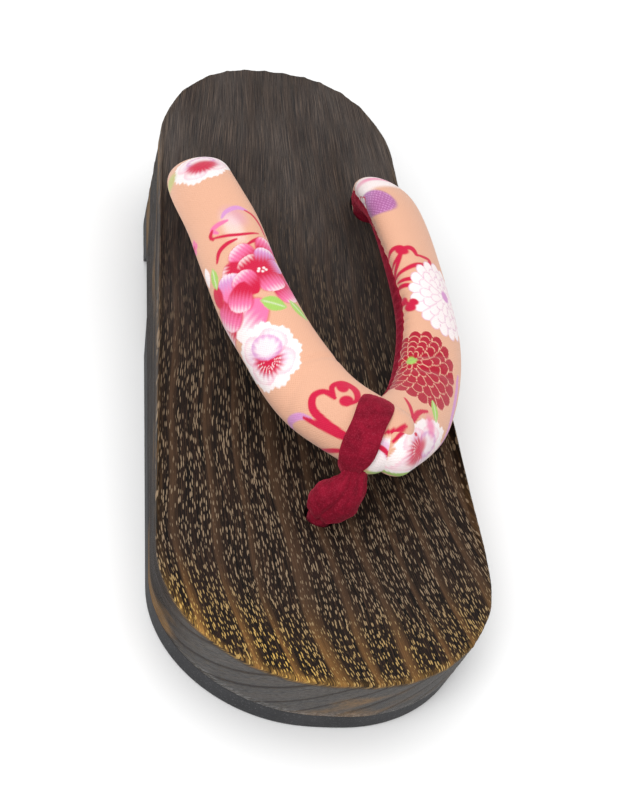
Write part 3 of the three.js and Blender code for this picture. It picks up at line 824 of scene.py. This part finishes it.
def paint_left(p):
    """Left leg, hole to nose: bloom over the fold, line petals, the large bloom and its leaves, a
    white bloom, and curled petals beside the loop."""
    p.peony((39.4, -2.5), 7.6, squeeze=1.35, lobes=7)
    p.spot((40.6, -2.6), 2.7, 4.6, CRIMSON, soft=0.5)
    p.spot((38.0, 9.5), 2.5, 3.0, LEAF, strength=0.6, soft=0.5)
    # line petals
    p.spot((63.6, -5.0), 3.0, 4.4, LILAC, turn=60, strength=0.4, soft=0.6)
    p.spot((68.0, -3.5), 2.6, 6.0, WHITE, turn=80, strength=0.45, soft=0.6)
    p.stroke([(62.6, -1.5), (61.2, -3.0), (60.5, -6.8), (61.9, -9.6)], 1.7, LILAC)
    p.stroke([(61.9, -9.1), (63.8, -11.3), (67.3, -12.8), (72, -13.2)], 1.0)
    p.stroke([(64.4, -2.6), (64.6, 0.9), (65.4, 2.8), (67.4, 1.5)], 1.8, PINK)
    p.stroke([(67.9, 4.4), (69.8, -0.9), (71.1, -5.0), (71.4, -10.5)], 1.1)
    p.stroke([(65.4, 2.8), (67.0, 4.0), (68.8, 3.6)], 1.3)
    p.stroke([(76.9, 5.1), (74.0, 3.2), (72.7, 0.4), (72.3, -3.2)], 1.5)
    p.stroke([(75.4, -5.6), (73.8, -9.5), (73.2, -13.7)], 1.3)
    p.blossom((64.6, 12.2), 2.6, 5, PINK, CRIMSON)
    # large bloom: back petals, then the front ones, pale at their lips and crimson at their roots
    petals = (
        ((79.6, -3.6), 5.0, 150, PINK), ((77.4, -11.2), 4.6, 215, PINK), ((84.0, 0.6), 4.8, 110, CRIMSON),
        ((88.6, -14.2), 5.2, -60, PINK), ((95.0, -11.0), 4.8, -25, PINK), ((84.6, -5.0), 5.2, 160, CRIMSON),
        ((89.6, -8.2), 5.2, -10, PINK), ((81.6, -9.6), 4.4, 200, LILAC), ((85.0, -11.0), 3.6, 260, LILAC),
    )
    for centre, size, turn, lip in petals:
        p.petal(centre, size, turn, lip, CRIMSON)
    p.spot((86.4, -7.0), 1.6, 2.4, CRIMSON, turn=30)
    for k in range(5):
        p.spot((86.0 + 0.7 * math.cos(k * 1.26), -7.0 + 1.3 * math.sin(k * 1.26)), 0.45, 0.45, WHITE)
    p.petal((99.0, 3.6), 7.4, 75, WHITE, PINK)
    p.petal((97.2, 12.6), 5.2, 85, WHITE, CRIMSON)
    p.petal((93.8, 7.6), 5.8, 55, PINK, CRIMSON)
    p.petal((87.6, 4.4), 5.0, 195, LILAC, PINK)
    p.petal((89.0, -1.2), 4.8, 160, PINK, CRIMSON)
    p.petal((92.0, 2.4), 4.8, 35, PINK, CRIMSON)
    p.spot((86.9, 9.6), 3.5, 2.3, CRIMSON, turn=8, soft=0.15)
    p.leaf((78.0, 11.0), 3.4, 1.7, WHITE, turn=15)
    p.leaf((81.0, 8.0), 3.8, 1.5, LEAF, turn=10)
    p.leaf((98.6, -5.2), 4.0, 2.4, LEAF, turn=-50)
    p.leaf((102.6, -11.8), 4.2, 1.6, LEAF, turn=-20)
    # white bloom
    p.peony((111.8, 4.8), 10.6, turn=25, lobes=9)
    # curled petals beside the loop
    p.stroke([(137.6, -1.0), (133.3, -0.8), (131.8, 2.0), (134.1, 5.1), (139.5, 6.4),
              (145.4, 6.8), (151, 7.0)], 2.5)
    p.stroke([(137.6, -1.0), (133.8, -3.7), (135.0, -6.9), (139.8, -7.3), (143.6, -4.1), (142.6, -1.2)], 2.2)
    p.spot((141.2, -2.2), 2.2, 2.0, CRIMSON, soft=0.15)
    p.spot((136.2, -5.6), 2.6, 1.8, CRIMSON, turn=20, soft=0.15)
    p.stroke([(135.4, 8.0), (131.9, 9.5), (129.8, 13.3), (130.7, 16.8)], 2.2, LILAC)
    p.stroke([(133.5, 8.9), (139.6, 8.1), (144.9, 7.9), (150.3, 7.6)], 2.0)
    p.stroke([(130.3, 16.4), (133.0, 18.5), (136.5, 19.6)], 1.7)
    p.stroke([(136.0, 19.5), (140.7, 16.6), (146.1, 12.9), (150.4, 10.8)], 1.7)
    # the end of the leg, past the loop
    p.spot((163.0, 7.0), 6.0, 9.0, WHITE, soft=0.1)
    p.spot((160.0, 3.0), 2.6, 1.6, LILAC, strength=0.6, soft=0.6)
    p.stroke([(157.4, 0.2), (159.0, -3.4), (159.0, -7.0)], 1.5)
    p.spot((161.5, 14.5), 4.0, 2.2, LEAF, soft=0.3)
    p.stroke([(157.0, 5.0), (160.5, 3.6), (162.4, 4.6)], 1.4)
    # out of the main view
    p.chrysanthemum((55, 21), 6.5, PINK, WHITE, CRIMSON, 1.0, 3)
    p.leaf((64, 22), 4, 1.8, LEAF, turn=30)
    p.blossom((122, 24), 4.5, 5, CRIMSON, WHITE)


def paint_right(p):
    """Right leg, hole to nose: plum blossom on a dotted patch, a fan of line petals, a white
    many-petalled bloom, a red one, and a bloom over the front bulge."""
    p.spot((35.6, -8), 4.6, 10.5, WHITE, strength=0.95, soft=0.25)
    p.spot((34.4, -6), 1.3, 7.0, PINK, strength=0.85, soft=0.7)
    p.spot((39.6, -16), 3.8, 5.0, WHITE, strength=0.9, soft=0.4)
    p.spot((44.4, -13.6), 4.4, 7.4, PURPLE, turn=-24, strength=0.85, soft=0.12)
    dots = (np.sin(p.down * 5.2) * np.sin(p.around * 5.2) > 0.3) * 1.0
    u, v = p.local((44.4, -13.6), -24)
    p.lay(LILAC, 0.8 * dots * (np.hypot(u / 4.3, v / 7.2) < 1))
    p.blossom((39.8, -17.4), 3.0, 5, CRIMSON, CRIMSON)
    p.blossom((39.8, -17.4), 2.5, 5, WHITE, LILAC)
    # fan of line petals
    p.stroke([(75, -19.5), (68.9, -19.7), (66.0, -17.2), (64.3, -13.5), (64.8, -10.9),
              (67.4, -12.4), (71.3, -18.7)], 1.5)
    p.stroke([(75.2, -18.2), (70.3, -13.9), (66.5, -11.3)], 1.5)
    p.spot((65.9, -11.2), 2.2, 1.5, CRIMSON, turn=60, soft=0.2)
    p.stroke([(65.0, -10.9), (65.4, -7.9), (68.1, -6.7)], 1.8)
    p.stroke([(74.7, -17.6), (73.2, -12.2), (71.8, -7.8), (71.3, -3.6), (69.0, -2.1),
              (68.2, -5.0), (67.9, -7.2)], 1.6)
    p.stroke([(78.1, -17.2), (79.0, -12.5), (80.5, -9.0)], 1.5)
    p.stroke([(76.6, -15.7), (77.0, -11.3), (77.6, -7.4)], 1.4)
    # white bloom with its pale outlines
    p.chrysanthemum((83.8, -1.2), 11.8, WHITE, screen_colour(226, 180, 206), LILAC, 0.8, 3, (-2.0, 2.0))
    for centre, size in (((84.6, -15.4), 2.1), ((88.4, -13.2), 2.2), ((86.6, -11.8), 1.7)):
        p.spot(centre, size, size * 0.75, CRIMSON, turn=40, soft=0.2)
    p.stroke([(80.8, -18), (84, -16), (87.4, -12.8)], 1.4)
    # red bloom
    p.chrysanthemum((116.4, -8.6), 15.2, DEEP_RED, screen_colour(236, 190, 160), LEAF, 0.8, 4, (-4.2, -2.8))
    # bloom over the bulge, with its branch and leaves
    p.leaf((154.2, 13.0), 6.0, 2.4, LEAF, turn=20)
    p.peony((144.6, 8.0), 15.6, squeeze=0.52, lobes=11)
    p.spot((146.0, 8.0), 4.6, 1.9, CRIMSON, turn=20, strength=0.9, soft=0.5)
    p.spot((151.0, 10.4), 3.0, 1.6, CRIMSON, turn=-20, strength=0.8, soft=0.6)
    p.spot((136.0, 4.0), 2.0, 3.2, PINK, turn=-30, strength=0.8, soft=0.6)
    p.leaf((129.6, 1.4), 4.0, 1.4, LEAF, turn=45)
    p.stroke([(155.4, 1.4), (148.4, 0.6), (143.1, -0.6), (137.4, -1.4), (133.4, -0.2)], 2.0)
    p.stroke([(143.1, -0.6), (139.2, -4.6), (137.2, -7.4)], 1.4)
    p.spot((146.0, 3.5), 0.8, 0.7, CRIMSON, soft=0.2)
    p.stroke([(159.0, 12.6), (152.5, 15.2), (146.0, 16.8), (140.5, 16.6)], 2.8, LEAF)
    p.stroke([(108.0, 6.5), (116.0, 7.8), (124.0, 9.8), (131.0, 13.5)], 2.4, LILAC)
    # out of the main view
    p.chrysanthemum((58, 14), 6.5, CRIMSON, WHITE, LEAF, 1.0, 3)
    p.peony((104, 20), 8.0, lobes=7)
    p.leaf((93, 19), 4, 1.8, LEAF, turn=60)
    p.blossom((74, 22), 4.2, 5, CRIMSON, WHITE)


PAINT = {"left": paint_left, "right": paint_right}


# ---------------------------------------------------------------- finishes
class Finish:
    """A node material with short calls for adding and joining its nodes."""

    def __init__(self, name):
        self.material = bpy.data.materials.new(name)
        self.material.use_nodes = True
        self.tree = self.material.node_tree
        self.shader = next(n for n in self.tree.nodes if n.type == "BSDF_PRINCIPLED")

    def put(self, node, inputs):
        for key, value in inputs.items():
            socket = node.inputs[key]
            if isinstance(value, bpy.types.NodeSocket):
                self.tree.links.new(value, socket)
            else:
                socket.default_value = value

    def node(self, kind, inputs=None, out=0, **settings):
        made = self.tree.nodes.new(kind)
        for key, value in settings.items():
            setattr(made, key, value)
        self.put(made, inputs or {})
        return made.outputs[out]

    def stored(self, name, out="Fac"):
        return self.node("ShaderNodeAttribute", out=out, attribute_name=name)

    def place(self):
        return self.node("ShaderNodeTexCoord", out="Object")

    def scaled(self, vector, scale):
        return self.node("ShaderNodeVectorMath", {0: vector, 1: scale}, operation="MULTIPLY")

    def noise(self, vector, scale, detail=3.0, roughness=0.55):
        return self.node("ShaderNodeTexNoise",
                         {"Vector": vector, "Scale": scale, "Detail": detail, "Roughness": roughness})

    def calc(self, operation, a, b=0.0, c=0.0, clamp=False):
        return self.node("ShaderNodeMath", {0: a, 1: b, 2: c}, operation=operation, use_clamp=clamp)

    def span(self, value, low, high, to_low=0.0, to_high=1.0):
        return self.node("ShaderNodeMapRange", {"Value": value, "From Min": low, "From Max": high,
                                                "To Min": to_low, "To Max": to_high})

    def mix(self, share, a, b, blend="MIX"):
        made = self.tree.nodes.new("ShaderNodeMix")
        made.data_type = "RGBA"
        made.blend_type = blend
        self.put(made, {0: share, 6: a, 7: b})
        return made.outputs[2]

    def finish(self, colour, roughness, height=None, distance=0.0002, strength=1.0, **constants):
        self.put(self.shader, {"Base Color": colour, "Roughness": roughness})
        self.put(self.shader, {key.replace("_", " "): value for key, value in constants.items()})
        if height is not None:
            bump = self.node("ShaderNodeBump", {"Height": height, "Distance": distance, "Strength": strength})
            self.put(self.shader, {"Normal": bump})
        return self.material


def burnt_wood():
    """Burnt, brushed wood: near-black ground with fine streaks, a smooth brown line of late wood in
    each ring, pale pore dashes that turn golden at the worn toe, a painted grey sheen to the heel, and
    walls, brown along the sides and grey across the ends, crossed by dark ring lines."""
    f = Finish("burnt_wood")
    grain, pore = f.stored("grain", "Vector"), f.stored("pore", "Vector")
    ring, wall = f.stored("ring"), f.stored("wall")
    toe, edge, heel_ramp_painted_sheen = f.stored("toe_wear"), f.stored("edge"), f.stored("heel_ramp_painted_sheen")
    depth = f.stored("depth")
    streak = f.noise(f.scaled(grain, (0.9, 0.03, 0.35)), 1.0, 5.0, 0.62)
    fine = f.noise(f.scaled(grain, (4.2, 0.07, 1.2)), 1.0, 4.0, 0.68)
    cloud = f.noise(f.scaled(grain, (0.05, 0.02, 0.05)), 1.0, 2.0)
    ground = f.mix(f.span(streak, 0.4, 0.64), rgba(8, 5, 4), rgba(38, 25, 19))
    ground = f.mix(f.span(fine, 0.52, 0.72, 0.0, 0.75), ground, rgba(104, 78, 58))
    # late wood: a crisp edge on one side and a slow fade on the other
    part = f.calc("FRACT", ring)
    band = f.calc("MULTIPLY", f.span(part, 0.46, 0.56), f.span(part, 0.84, 0.56))
    band_tone = f.mix(toe, rgba(86, 63, 45), rgba(150, 106, 56))
    band_share = f.calc("MULTIPLY", band, f.span(fine, 0.3, 0.62, 0.55, 1.0))
    # towards the heel the late-wood band fades under the painted sheen
    base = f.mix(f.calc("MULTIPLY", band_share, f.span(heel_ramp_painted_sheen, 0.1, 0.8, 0.9, 0.22)), ground, band_tone)
    # pores: one oval dash in each cell, long along the grain
    cell = f.node("ShaderNodeTexVoronoi", {"Vector": pore, "Scale": 1.0, "Randomness": 0.8}, out="Position")
    gap = f.node("ShaderNodeVectorMath", {0: pore, 1: cell}, operation="SUBTRACT")
    gap = f.scaled(gap, (1.65, 1.0, 0.7))
    gap = f.node("ShaderNodeVectorMath", {0: gap}, out="Value", operation="LENGTH")
    patchy = f.span(f.noise(f.scaled(pore, (0.55, 0.35, 0.5)), 1.0, 2.0), 0.35, 0.62, 0.3, 0.46)
    room = f.calc("MULTIPLY_ADD", heel_ramp_painted_sheen, -0.1, f.calc("MULTIPLY_ADD", band, -0.12, patchy))
    dash = f.span(f.calc("SUBTRACT", gap, room), 0.04, -0.07)
    gold = f.calc("MULTIPLY", toe, f.span(cloud, 0.4, 0.6, 0.55, 1.0))
    # towards the heel the dashes turn duller and fainter under the painted sheen
    dash_tone = f.mix(gold, f.mix(heel_ramp_painted_sheen, rgba(152, 130, 105), rgba(120, 97, 76)), rgba(234, 190, 94))
    dash_share = f.calc("MULTIPLY", dash, f.span(heel_ramp_painted_sheen, 0.0, 1.0, 0.9, 0.2))
    base = f.mix(dash_share, base, dash_tone)
    # the rubbed rim of the toe is golden between the grooves
    worn = f.calc("MULTIPLY", f.span(fine, 0.42, 0.6), f.span(toe, 0.2, 0.95, 0.1, 0.8))
    rim_share = f.calc("MULTIPLY", edge, worn)
    rim_share = f.calc("MULTIPLY", rim_share, f.span(cloud, 0.38, 0.62, 0.35, 1.0))
    base = f.mix(rim_share, base, rgba(206, 156, 78))
    # painted sheen: a grey wash over the wood towards the heel, standing in for its reflection of the light
    painted_sheen_share = f.calc("MULTIPLY", heel_ramp_painted_sheen, f.span(cloud, 0.3, 0.7, 0.2, 0.5))
    base = f.mix(painted_sheen_share, base, f.mix(f.span(fine, 0.4, 0.68), rgba(70, 66, 66), rgba(142, 131, 123)))
    # walls: brown along the sides, grey across the ends
    end_grain = f.stored("end_grain")
    side = f.mix(f.span(streak, 0.36, 0.66), rgba(12, 9, 8), rgba(44, 32, 26))
    ends = f.mix(f.span(fine, 0.35, 0.68), rgba(62, 61, 61), rgba(104, 102, 101))
    side = f.mix(end_grain, side, ends)
    side = f.mix(f.span(part, 0.9, 0.99, 0.0, 0.85), side, rgba(40, 34, 33))
    side = f.mix(f.calc("MULTIPLY", f.span(part, 0.12, 0.0), 0.8), side, rgba(40, 34, 33))
    side_gold = f.calc("MULTIPLY", f.span(cloud, 0.56, 0.68), f.span(fine, 0.4, 0.6, 0.1, 0.75))
    side = f.mix(side_gold, side, rgba(158, 118, 66))
    side = f.mix(f.span(depth, 2.6, 1.0, 0.0, 0.85), side, rgba(44, 33, 27))
    chipped = f.calc("MULTIPLY", f.stored("lowest"), f.span(fine, 0.5, 0.62, 0.0, 0.7))
    side = f.mix(f.calc("MULTIPLY", chipped, end_grain), side, rgba(176, 176, 174))
    base = f.mix(f.calc("MULTIPLY", wall, 0.95), base, side)
    rough = f.span(fine, 0.3, 0.7, 0.5, 0.72)
    height = f.calc("MULTIPLY_ADD", dash, 0.6, f.calc("MULTIPLY", fine, 0.9))
    height = f.calc("MULTIPLY_ADD", band, 0.5, height)
    return f.finish(base, rough, height, 0.00035, 0.8, Specular_IOR_Level=0.14)


def sole_rubber():
    """Charcoal rubber: matte, a faint speckle and rubbed patches."""
    f = Finish("sole_rubber")
    place = f.place()
    speck = f.noise(place, 2200.0, 2.0)
    rub = f.noise(place, 60.0, 3.0)
    tone = f.mix(f.span(rub, 0.35, 0.7), rgba(38, 38, 40), rgba(56, 56, 58))
    tone = f.mix(f.span(speck, 0.6, 0.72, 0.0, 0.7), tone, rgba(104, 104, 106))
    return f.finish(tone, f.span(rub, 0.3, 0.7, 0.62, 0.8), speck, 0.00015, 0.6, Specular_IOR_Level=0.3)


def print_cotton():
    """Plain-weave cotton: its print is painted on the points; threads cross every 0.45 mm."""
    f = Finish("print_cotton")
    weave = f.stored("weave", "Vector")
    split = f.node("ShaderNodeSeparateXYZ", {0: f.scaled(weave, (7.0, 7.0, 7.0))}, out=0).node
    warp, weft = f.calc("SINE", split.outputs[0]), f.calc("SINE", split.outputs[1])
    threads = f.calc("MULTIPLY", warp, weft)
    slub = f.noise(f.scaled(weave, (0.9, 4.0, 1.0)), 1.0, 3.0)
    tone = f.stored("print", "Color")
    shade = f.span(f.calc("MULTIPLY_ADD", threads, 0.25, slub), 0.2, 0.8, 0.0, 0.12)
    tone = f.mix(shade, tone, rgba(196, 130, 100), "MULTIPLY")
    height = f.calc("MULTIPLY_ADD", threads, 0.5, slub)
    return f.finish(tone, 0.88, height, 0.00012, 0.7, Specular_IOR_Level=0.2, Sheen_Weight=0.25,
                    Sheen_Roughness=0.5)


def loop_velvet():
    """Burgundy velvet: short pile, darker where it is brushed down and a soft sheen at its edges."""
    f = Finish("loop_velvet")
    place = f.place()
    pile = f.noise(place, 2600.0, 2.0)
    nap = f.noise(place, 260.0, 4.0, 0.65)
    tone = f.mix(f.span(nap, 0.35, 0.68), rgba(112, 12, 33), rgba(142, 20, 45))
    tone = f.mix(f.span(pile, 0.5, 0.7, 0.0, 0.35), tone, rgba(178, 60, 82))
    height = f.calc("MULTIPLY_ADD", pile, 0.6, nap)
    return f.finish(tone, 0.95, height, 0.0003, 0.8, Specular_IOR_Level=0.1, Sheen_Weight=0.6,
                    Sheen_Roughness=0.35, Sheen_Tint=rgba(225, 90, 110))


def floor_paper():
    """Pale backdrop paper with a barely seen mottling."""
    f = Finish("floor_paper")
    tone = f.mix(f.noise(f.place(), 3.0), rgba(252, 252, 252), rgba(255, 255, 255))
    return f.finish(tone, 0.9, Specular_IOR_Level=0.1)


# ---------------------------------------------------------------- stage, lights and camera
def aimed(thing, place, target, roll=0.0):
    """Puts a lamp or the camera at a place in mm, looking at a target, rolled by degrees."""
    place, target = Vector(place) * MM, Vector(target) * MM
    turn = (target - place).to_track_quat("-Z", "Y").to_matrix() @ Matrix.Rotation(math.radians(roll), 3, "Z")
    thing.matrix_world = Matrix.Translation(place) @ turn.to_4x4()
    bpy.context.scene.collection.objects.link(thing)


def soft_lamp(name, place, target, size, power, colour=(1, 1, 1)):
    data = bpy.data.lights.new(name, "AREA")
    data.size = size
    data.energy = power
    data.color = colour
    aimed(bpy.data.objects.new(name, data), place, target)


def make_stage():
    mesh = bpy.data.meshes.new("floor")
    corners = [(FLOOR_HALF * x, FLOOR_HALF * y, 0) for x, y in ((-1, -1), (1, -1), (1, 1), (-1, 1))]
    mesh.from_pydata(corners, [], [(0, 1, 2, 3)])
    mesh.materials.append(floor_paper())
    floor = bpy.data.objects.new("floor", mesh)
    bpy.context.scene.collection.objects.link(floor)
    world = bpy.data.worlds.new("studio")
    world.use_nodes = True
    world.node_tree.nodes["Background"].inputs["Color"].default_value = (1, 1, 1, 1)
    world.node_tree.nodes["Background"].inputs["Strength"].default_value = 0.58
    bpy.context.scene.world = world
    soft_lamp("key_light", (-500, -700, 900), (0, 0, 20), 0.7, 8.0)
    soft_lamp("top_light", (100, 200, 1100), (0, 0, 20), 1.0, 4.6)
    bpy.context.scene.view_settings.view_transform = "Standard"


def make_camera():
    data = bpy.data.cameras.new("camera")
    data.lens = CAMERA_LENS
    data.sensor_width = 36
    data.clip_start = 0.01
    camera = bpy.data.objects.new("camera", data)
    aimed(camera, CAMERA_PLACE, CAMERA_TARGET, CAMERA_ROLL)
    bpy.context.scene.camera = camera


make_camera()
wood, rubber, cotton, velvet = burnt_wood(), sole_rubber(), print_cotton(), loop_velvet()

base = make_base()
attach(base, "root")
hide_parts("base_wood")
for name, heel in (("forefoot_rubber", False), ("heel_rubber", True)):
    pad = make_pad(name, heel)
    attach(pad, "root")
    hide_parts("heel_pad" if heel else "forefoot_pad")

for name in ("left", "right"):
    cover, lining = make_cover(name), make_lining(name)
    for piece, fill in ((cover, 0.8), (lining, 0.5)):
        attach(piece, "root")
        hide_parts("strap")

loop = make_loop()
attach(loop, "root")
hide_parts("front_loop")

make_stage()
